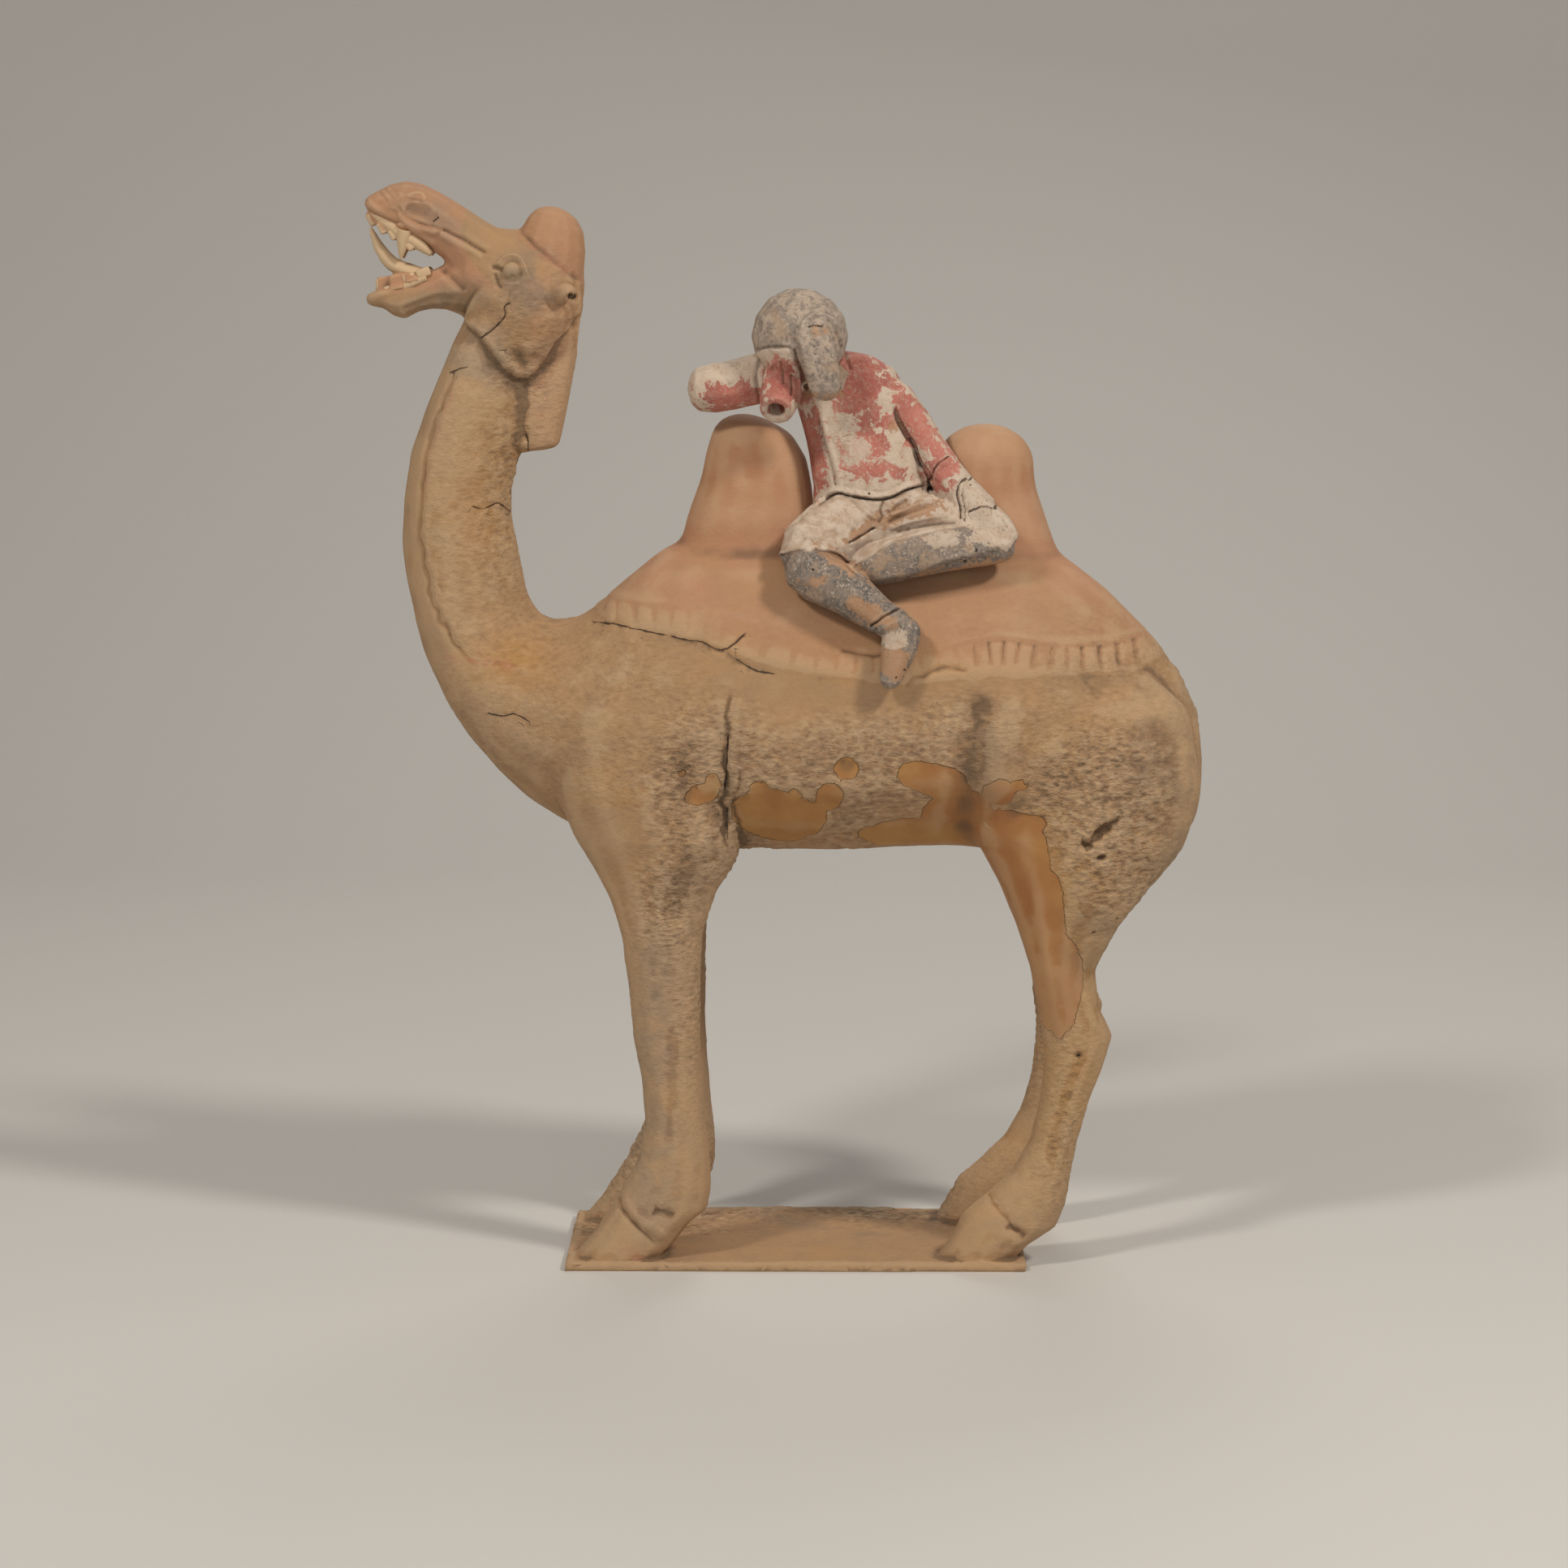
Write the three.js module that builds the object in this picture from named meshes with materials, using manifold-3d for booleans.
// Pottery camel with a sleeping rider, fired clay, millimetres, +Z up.
// The camel faces -X. The origin is the middle of the base slab's underside.

import * as THREE from 'three';
import { mergeVertices } from 'three/addons/utils/BufferGeometryUtils.js';
import Module from 'manifold-3d';

const wasm = await Module();
wasm.setup();

// Driving dimensions of the base slab
const SLAB_LENGTH = 336;
const SLAB_FRONT = -90;
const SLAB_BACK = 80;
const SLAB_BOW = 14;
const SLAB_SKEW = 2;
const SLAB_THICK = 6;

// Driving dimensions of the camel
const BODY_HALF = 94;
const BELLY_Z = 298;
const BACK_Z = 530;
const STANCE = 60;
const FOOT_SINK = 3;
const TOE_CLEFT = 4;
const CLEFT_DEEP = 7;
const TOOTH_DEEP = 5;
const FANG_RADIUS = 6;
const FANG_LONG = 24;

// Driving dimensions of the saddle cloth
const CLOTH_THICK = 2.2;
const CLOTH_REACH = 120;
const TASSEL_PITCH = 12.6;
const TASSEL_NOTCH = 14;

// Driving dimensions of the rider
const HEAD_RADIUS = 35;
const SOCKET_RADIUS = 6.5;
const REST_GAP = 0.3;

// Corners closer than this are one corner
const WELD = 1e-3;

// Rings of a skin: where they stand along it and how far they have swollen from a rounded end.
function ringList(along, round, capRings) {
  const rings = [];
  const [first, last] = round;
  for (let i = 1; first > 0 && i < capRings; i++) {
    const angle = (i / capRings) * Math.PI / 2;
    rings.push({ t: first * (1 - Math.cos(angle)), swell: Math.sin(angle) });
  }
  for (let i = 0; i <= along; i++) {
    rings.push({ t: first + (1 - first - last) * (i / along), swell: 1 });
  }
  for (let i = capRings - 1; last > 0 && i > 0; i--) {
    const angle = (i / capRings) * Math.PI / 2;
    rings.push({ t: 1 - last * (1 - Math.cos(angle)), swell: Math.sin(angle) });
  }
  return rings;
}

// A power that keeps its sign, for ovals that are squarer or more pointed than an ellipse.
function bend(value, power) {
  return Math.sign(value) * Math.abs(value) ** power;
}

// A closed skin: a capped cylinder whose rings are moved onto the ovals that ovalAt gives.
// round is how much of each end is drawn in to a rounded tip, power below 1 makes the ovals squarer,
// and egg makes them wider below than above.
function skin(ovalAt, { around = 16, along = 12, round = [0, 0], power = 1, egg = 0, capRings = 3 }) {
  const rings = ringList(along, round, capRings);
  const tube = new THREE.CylinderGeometry(1, 1, 1, around, rings.length - 1, false);
  const place = tube.attributes.position;
  for (let i = 0; i < place.count; i++) {
    const at = new THREE.Vector3().fromBufferAttribute(place, i);
    const step = Math.round((0.5 - at.y) * (rings.length - 1));
    const onAxis = Math.hypot(at.x, at.z) < 0.5;
    const end = step === 0 ? 0 : 1;
    const { centre, rise, side } = ovalAt(onAxis && round[end] > 0 ? end : rings[step].t);
    const point = centre.clone();
    if (!onAxis) {
      const up = at.z;
      const out = bend(at.x, power) * (1 - egg * up);
      point.addScaledVector(rise, bend(up, power) * rings[step].swell);
      point.addScaledVector(side, out * rings[step].swell);
    }
    place.setXYZ(i, point.x, point.y, point.z);
  }
  return toSolid(tube);
}

// A smooth course through the points that pick takes from each row.
function course(rows, pick) {
  return new THREE.CatmullRomCurve3(rows.map((row) => new THREE.Vector3(...pick(row))), false, 'centripetal');
}

// Ribs: each row is [x, z, x, z, half width, y], the two ends of a rib in the side outline and its width.
// The skin can be grown by a small allowance on all sides.
function ribbed(rows, options = {}) {
  const { grow = 0 } = options;
  const lower = course(rows, ([x, z]) => [x, 0, z]);
  const upper = course(rows, ([, , x, z]) => [x, 0, z]);
  const girth = course(rows, ([, , , , half, y = 0]) => [half, y, 0]);
  const ovalAt = (t) => {
    const low = lower.getPoint(t);
    const high = upper.getPoint(t);
    const { x: half, y } = girth.getPoint(t);
    const centre = low.clone().add(high).multiplyScalar(0.5);
    centre.y = y;
    const rise = high.sub(centre).setY(0);
    rise.setLength(rise.length() + grow);
    return { centre, rise, side: new THREE.Vector3(0, half + grow, 0) };
  };
  return skin(ovalAt, { along: rows.length * 2 - 2, ...options });
}

// A limb: each row is [x, y, z, half height, half depth] along its middle line.
function limb(rows, options = {}) {
  const middle = course(rows, ([x, y, z]) => [x, y, z]);
  const girth = course(rows, ([, , , high, deep]) => [high, deep, 0]);
  const ovalAt = (t) => {
    const ahead = middle.getTangent(t);
    const rise = new THREE.Vector3().crossVectors(ahead, new THREE.Vector3(0, 1, 0)).normalize();
    const side = new THREE.Vector3().crossVectors(rise, ahead).normalize();
    const { x: high, y: deep } = girth.getPoint(t);
    return { centre: middle.getPoint(t), rise: rise.multiplyScalar(high), side: side.multiplyScalar(deep) };
  };
  return skin(ovalAt, { around: 10, along: rows.length, round: [0.12, 0.12], capRings: 2, ...options });
}

// A ball stretched to three half sizes.
function ball([x, y, z], [a, b, c], around = 12) {
  const shape = new THREE.SphereGeometry(1, around, Math.round(around * 0.7));
  shape.scale(a, b, c);
  shape.translate(x, y, z);
  return toSolid(shape);
}

// A solid for joining and cutting, from any closed three.js geometry.
function toSolid(geometry) {
  const bare = geometry.clone();
  bare.deleteAttribute('normal');
  bare.deleteAttribute('uv');
  const merged = mergeVertices(bare, WELD);
  const points = merged.attributes.position;
  const corners = [];
  let volume = 0;
  const [a, b, c] = [new THREE.Vector3(), new THREE.Vector3(), new THREE.Vector3()];
  for (let i = 0; i < merged.index.count; i += 3) {
    const [p, q, r] = [0, 1, 2].map((k) => merged.index.getX(i + k));
    if (p === q || q === r || r === p) continue;
    corners.push(p, q, r);
    a.fromBufferAttribute(points, p);
    b.fromBufferAttribute(points, q);
    c.fromBufferAttribute(points, r);
    volume += a.dot(b.cross(c));
  }
  if (volume < 0) corners.reverse();
  const vertProperties = new Float32Array(points.array);
  const triVerts = new Uint32Array(corners);
  return new wasm.Manifold(new wasm.Mesh({ numProp: 3, vertProperties, triVerts }));
}

function joined(solids) {
  return solids.reduce((whole, solid) => whole.add(solid));
}

// The named mesh of one finished piece.
function piece(name, solid, color) {
  const { vertProperties, triVerts } = solid.getMesh();
  const geometry = new THREE.BufferGeometry();
  geometry.setAttribute('position', new THREE.BufferAttribute(vertProperties, 3));
  geometry.setIndex(new THREE.BufferAttribute(triVerts, 1));
  geometry.computeVertexNormals();
  const clay = new THREE.MeshStandardMaterial({ color, roughness: 0.9, metalness: 0 });
  const mesh = new THREE.Mesh(geometry, clay);
  mesh.name = name;
  return mesh;
}

// Body and neck in one sweep, from under the head, down the neck, round the chest and back to the rump.
function trunk(grow = 0) {
  const rows = [
    [-236, 696, -176, 672, 26],
    [-257, 653, -193, 645, 31],
    [-269, 624, -197, 612, 33],
    [-283, 583, -203, 585, 35],
    [-288, 535, -209, 550, 36],
    [-286, 495, -202, 512, 38],
    [-277, 455, -194, 478, 42],
    [-260, 412, -180, 466, 49],
    [-237, 376, -155, 470, 59],
    [-208, 344, -128, 492, 70],
    [-172, 318, -97, 518, 81],
    [-120, 299, -55, BACK_Z, 90],
    [-40, BELLY_Z, -5, BACK_Z, BODY_HALF],
    [34, BELLY_Z - 1, 40, BACK_Z - 6, BODY_HALF],
    [100, BELLY_Z + 2, 100, BACK_Z, BODY_HALF],
    [150, BELLY_Z - 2, 158, BACK_Z, BODY_HALF - 2],
    [200, 290, 208, 502, 86],
    [244, 287, 250, 462, 74],
    [278, 300, 282, 426, 54],
    [297, 330, 297, 384, 26],
  ];
  return ribbed(rows, { around: 18, along: 26, round: [0, 0.02], egg: 0.28, grow });
}

function frontHump(grow = 0) {
  const rows = [
    [-92, 500, 16, 500, 34],
    [-82, 536, 13, 530, 36],
    [-70, 566, 10, 560, 32],
    [-65, 592, 4, 590, 28],
    [-56, 619, -14, 612, 24],
  ];
  return ribbed(rows, { around: 14, along: 5, round: [0, 0.13], power: 0.9, grow });
}

function rearHump(grow = 0) {
  const rows = [
    [88, 500, 196, 500, 36],
    [97, 540, 182, 539, 37],
    [101, 568, 172, 568, 33],
    [102, 588, 171, 588, 31],
    [107, 610, 165, 610, 27],
  ];
  return ribbed(rows, { around: 14, along: 5, round: [0, 0.24], grow });
}

function foreleg(side) {
  const y = side * STANCE;
  const rows = [
    [-160, 448, -64, 450, 18, side * 52],
    [-180, 388, -48, 398, 36, side * 56],
    [-172, 338, -42, 345, 38, side * 56],
    [-157, 304, -38, 311, 36, side * 55],
    [-141, 282, -46, 290, 31, side * 56],
    [-131, 256, -65, 264, 26, y],
    [-123, 220, -69, 225, 24, y],
    [-121, 180, -70, 180, 22, y],
    [-114, 145, -69, 145, 21, y],
    [-110, 112, -67, 112, 21, y],
    [-113, 86, -64, 88, 22, y],
    [-124, 63, -62, 62, 24, y],
    [-134, 44, -63, 43, 25, y],
    [-146, 26, -77, 31, 26, y],
    [-157, 13, -90, 14, 27, y],
    [-166, FOOT_SINK, -101, FOOT_SINK, 27, y],
  ];
  return ribbed(rows, { around: 12, along: 15, round: [0.05, 0], power: 0.92, capRings: 2 });
}

function hindleg(side) {
  const y = side * STANCE;
  const rows = [
    [156, 446, 262, 446, 18, side * 44],
    [130, 392, 290, 392, 36, side * 52],
    [118, 335, 292, 326, 40, side * 51],
    [139, 294, 266, 288, 34, side * 54],
    [155, 260, 238, 256, 28, side * 58],
    [168, 224, 217, 222, 23, y],
    [175, 192, 219, 192, 20, y],
    [179, 165, 230, 167, 19, y],
    [179, 140, 220, 140, 18, y],
    [174, 109, 210, 110, 18, y],
    [164, 81, 203, 80, 19, y],
    [146, 59, 198, 54, 22, y],
    [125, 42, 193, 31, 24, y],
    [113, 22, 174, 18, 25, y],
    [101, FOOT_SINK, 158, FOOT_SINK, 25, y],
  ];
  return ribbed(rows, { around: 12, along: 15, round: [0.05, 0], power: 0.92, capRings: 2 });
}

function slab() {
  const outline = new THREE.Shape();
  const end = SLAB_LENGTH / 2;
  outline.moveTo(-end, SLAB_FRONT);
  outline.lineTo(end, SLAB_FRONT + SLAB_SKEW);
  outline.lineTo(end - SLAB_SKEW, SLAB_BACK);
  outline.quadraticCurveTo(0, SLAB_BACK + 2 * SLAB_BOW, -end, SLAB_BACK);
  const options = { depth: SLAB_THICK, bevelEnabled: false, curveSegments: 10 };
  return toSolid(new THREE.ExtrudeGeometry(outline, options));
}

function skull() {
  const rows = [
    [-250, 704, -236, 758, 22],
    [-240, 684, -216, 750, 28],
    [-224, 662, -198, 750, 33],
    [-204, 647, -182, 746, 35],
    [-184, 654, -166, 738, 32],
    [-166, 676, -153, 722, 22],
  ];
  return ribbed(rows, { around: 14, along: 7, round: [0.06, 0.1], capRings: 2 });
}

function upperJaw() {
  const rows = [
    [-313, 766, -312, 772, 8],
    [-303, 757, -303, 777, 15],
    [-290, 752, -286, 784, 19],
    [-277, 742, -268, 781, 20],
    [-262, 734, -250, 771, 22],
    [-244, 712, -229, 757, 25],
    [-222, 700, -208, 746, 26],
  ];
  return ribbed(rows, { around: 11, along: 9, round: [0.05, 0], power: 0.9, capRings: 2 });
}

function lowerJaw() {
  const rows = [
    [-312, 695, -313, 701, 8],
    [-299, 692, -301, 708, 13],
    [-287, 684, -289, 711, 15],
    [-272, 690, -273, 714, 15],
    [-256, 692, -258, 724, 18],
    [-238, 685, -238, 736, 23],
    [-218, 680, -218, 730, 26],
  ];
  return ribbed(rows, { around: 11, along: 9, round: [0.05, 0], power: 0.9, capRings: 2 });
}

function topknot() {
  const rows = [
    [-206, 716, -156, 700, 27],
    [-203, 742, -153, 728, 24],
    [-194, 760, -155, 750, 18],
    [-184, 768, -165, 764, 10],
  ];
  return ribbed(rows, { around: 12, along: 4, round: [0, 0.15], capRings: 2 });
}

function nape() {
  const rows = [
    [-206, 712, -153, 712, 20],
    [-206, 660, -160, 661, 17],
    [-206, 625, -166, 625, 15],
    [-203, 590, -173, 592, 13],
  ];
  return ribbed(rows, { around: 10, along: 4, power: 0.7 });
}

function tongue() {
  const rows = [
    [-256, 0, 712, 5, 11],
    [-276, 0, 718, 6, 11],
    [-292, 0, 723, 6, 9],
    [-303, 0, 736, 4, 6],
    [-308, 0, 749, 1.5, 3],
  ];
  return limb(rows, { around: 8, along: 6, round: [0.1, 0.05] });
}

// A tooth: a small block that leans with the jaw.
function tooth([x, z], [long, high], side, out, lean) {
  const block = new THREE.BoxGeometry(long, TOOTH_DEEP, high);
  block.rotateY(lean);
  block.translate(x, side * out, z);
  return toSolid(block);
}

// Two teeth and a fang above, and three teeth below, on one side of the mouth.
function teeth(side) {
  const fang = new THREE.ConeGeometry(FANG_RADIUS, FANG_LONG, 6);
  fang.rotateX(-Math.PI / 2);
  fang.translate(-286, side * 11, 741);
  return [
    tooth([-306, 758], [9, 10], side, 6, -0.5),
    tooth([-298, 752], [8, 9], side, 10, -0.45),
    toSolid(fang),
    tooth([-300, 711], [8, 11], side, 7, -0.1),
    tooth([-290, 713], [9, 10], side, 10, -0.15),
    tooth([-279, 716], [9, 7], side, 11, -0.2),
  ];
}

// The ridge under the upper lip that the teeth hang from.
function gum(side) {
  const rows = [
    [-306, side * 6, 762, 3.5, 4],
    [-298, side * 9, 756, 4, 4],
    [-286, side * 11, 748, 4.5, 4],
    [-271, side * 12, 737, 3.5, 3.5],
  ];
  return limb(rows, { around: 5, along: 2 });
}

function eye(side) {
  return ball([-205, side * 29, 721], [10, 6, 8], 8);
}

function nostril(side) {
  return ball([-273, side * 21, 764], [14, 4, 8], 6);
}

function ear(side) {
  const root = [-178, side * 22, 702, 9, 9];
  const middle = [-167, side * 33, 706, 7, 7];
  const stump = [-160, side * 38, 707, 5, 5];
  return limb([root, middle, stump], { around: 7 });
}

// The cleft between the two toes, a groove along the instep from low at [x1, z1] to high at [x2, z2].
function cleft([x1, z1], [x2, z2], side) {
  const groove = new THREE.BoxGeometry(Math.hypot(x2 - x1, z2 - z1), TOE_CLEFT, 2 * CLEFT_DEEP);
  groove.rotateY(-Math.atan2(z2 - z1, x2 - x1));
  groove.translate((x1 + x2) / 2, side * STANCE, (z1 + z2) / 2);
  return toSolid(groove);
}

// The saddle cloth lies over back and flanks. Its lower edge is notched into tassels at both ends.
function saddleCloth() {
  const outline = new THREE.Shape();
  outline.moveTo(-152, 500);
  tassels(outline, [-140, 470], [-52, 451]);
  outline.lineTo(-8, 440);
  outline.lineTo(70, 429);
  tassels(outline, [150, 430], [264, 437]);
  outline.lineTo(300, 470);
  outline.lineTo(230, 520);
  outline.lineTo(-60, 560);
  const drop = new THREE.ExtrudeGeometry(outline, { depth: 2 * CLOTH_REACH, bevelEnabled: false });
  drop.rotateX(Math.PI / 2);
  drop.translate(0, CLOTH_REACH, 0);
  return trunk(CLOTH_THICK).intersect(toSolid(drop));
}

// A run of pointed notches between tassels, along a straight stretch of the hem.
function tassels(outline, [x1, z1], [x2, z2]) {
  const count = Math.round(Math.hypot(x2 - x1, z2 - z1) / TASSEL_PITCH);
  const along = (step) => [x1 + (x2 - x1) * (step / count), z1 + (z2 - z1) * (step / count)];
  outline.lineTo(x1, z1);
  for (let i = 1; i < count; i++) {
    const [x, z] = along(i);
    outline.lineTo(x - TASSEL_NOTCH / 4, z);
    outline.lineTo(x, z + TASSEL_NOTCH);
    outline.lineTo(x + TASSEL_NOTCH / 4, z);
  }
  outline.lineTo(x2, z2);
}

function camel() {
  const body = [trunk(), saddleCloth(), frontHump(), rearHump()];
  const headParts = [skull(), upperJaw(), lowerJaw(), topknot(), nape(), tongue()];
  const pairs = [-1, 1].map((side) => [
    foreleg(side),
    hindleg(side),
    eye(side),
    ear(side),
    gum(side),
    ...teeth(side),
  ]);
  const hollows = [-1, 1].map((side) => [
    nostril(side),
    cleft([-168, 2], [-145, 28], side),
    cleft([100, 2], [118, 30], side),
  ]);
  return joined([...body, ...headParts, ...pairs.flat()]).subtract(joined(hollows.flat())).add(slab());
}

function jacket() {
  const rows = [
    [2, 518, 110, 520, 30, -18],
    [8, 540, 106, 540, 31, -18],
    [12, 557, 100, 559, 31, -18],
    [9, 583, 96, 586, 30, -17],
    [3, 612, 86, 615, 28, -16],
    [-3, 638, 78, 640, 26, -16],
    [10, 662, 58, 664, 20, -18],
  ];
  return ribbed(rows, { around: 14, along: 7, round: [0, 0.1], power: 0.9, capRings: 2 });
}

function leftArm() {
  const rows = [
    [62, -20, 642, 14, 17],
    [82, -25, 615, 13, 15],
    [97, -31, 591, 13, 14],
    [112, -38, 569, 14, 14],
    [125, -45, 554, 15, 14],
    [136, -50, 545, 14, 13],
  ];
  return limb(rows, { round: [0.1, 0.04] });
}

function leftHand() {
  const rows = [
    [126, -50, 552, 11, 10],
    [139, -57, 543, 12, 9],
    [148, -61, 534, 11, 8],
    [154, -64, 526, 8, 6],
  ];
  return limb(rows, { around: 10, along: 4 });
}

function rightArm() {
  const rows = [
    [6, -20, 648, 14, 16],
    [-22, -27, 645, 19, 16],
    [-44, -28, 639, 18, 16],
    [-64, -27, 636, 18, 16],
    [-79, -26, 635, 14, 14],
  ];
  return limb(rows, { round: [0.05, 0.12] });
}

function hangingSleeve() {
  const rows = [
    [-2, -30, 664, 12, 11],
    [-8, -42, 649, 15, 13],
    [-12, -54, 632, 15, 13],
    [-14.5, -67, 622, 12.5, 12.5],
  ];
  const socket = [
    [-12, -54, 631, SOCKET_RADIUS, SOCKET_RADIUS],
    [-17, -79, 614, SOCKET_RADIUS, SOCKET_RADIUS],
  ];
  const hole = limb(socket, { around: 10, along: 1, round: [0, 0] });
  return { sleeve: limb(rows, { round: [0.1, 0] }), hole };
}

// The head has sunk onto the sleeve with its face turned away, so only the nose stands out on the far side.
function head() {
  const nose = [
    [-7, -9, 680, 3, 3],
    [-9, -6, 676, 4, 4],
    [-11, -5, 667, 4, 5],
  ];
  const dome = ball([2, -38, 674], [HEAD_RADIUS, HEAD_RADIUS - 2, HEAD_RADIUS], 14);
  return dome.add(limb(nose, { around: 6, along: 2 }));
}

function hoodTail() {
  const rows = [
    [8, -60, 692, 12, 5],
    [11, -70, 680, 13, 5],
    [16, -74, 660, 13, 6],
    [20, -71, 642, 12.5, 6],
    [19, -66, 629, 9, 5],
  ];
  return limb(rows, { around: 10, along: 6, power: 0.8 });
}

function rightThigh() {
  const rows = [
    [62, -16, 538, 30, 22],
    [34, -36, 534, 29, 23],
    [12, -53, 522, 26, 21],
    [3, -66, 505, 17, 15],
  ];
  return limb(rows);
}

function rightShin() {
  const rows = [
    [-4, -64, 517, 14, 14],
    [12, -73, 506, 19, 16],
    [34, -82, 496, 18, 15],
    [62, -90, 476, 13, 12],
    [84, -93, 466, 11, 11],
  ];
  return limb(rows);
}

function rightBoot() {
  const rows = [
    [77, -91, 478, 12, 11],
    [74, -96, 460, 14, 11],
    [69, -102, 442, 10.5, 9],
    [65, -105, 427, 6, 6],
  ];
  return limb(rows, { along: 5 });
}

function leftThigh() {
  const rows = [
    [52, -16, 538, 28, 22],
    [92, -34, 540, 25, 21],
    [128, -50, 533, 18, 17],
    [150, -60, 525, 12, 12],
  ];
  return limb(rows);
}

function leftShin() {
  const rows = [
    [156, -56, 521, 8, 12],
    [140, -61, 525, 14, 15],
    [118, -65, 525, 16, 16],
    [92, -68, 522, 17.5, 16],
    [66, -70, 516, 17, 15],
    [36, -68, 509, 13, 12],
  ];
  return limb(rows, { power: 0.9 });
}

function rider() {
  const { sleeve, hole } = hangingSleeve();
  const arms = [rightArm(), leftArm(), leftHand(), sleeve];
  const legs = [rightThigh(), rightShin(), rightBoot(), leftThigh(), leftShin()];
  const body = joined([jacket(), head(), hoodTail(), ...arms, ...legs]).subtract(hole);
  const seat = joined([trunk(CLOTH_THICK + REST_GAP), frontHump(REST_GAP), rearHump(REST_GAP)]);
  return body.subtract(seat).subtract(seat.translate([0, 0, REST_GAP]));
}

const figure = new THREE.Group();
figure.add(piece('camel', camel(), 0xb98a5c));
figure.add(piece('rider', rider(), 0xc9a08f));

export default figure;
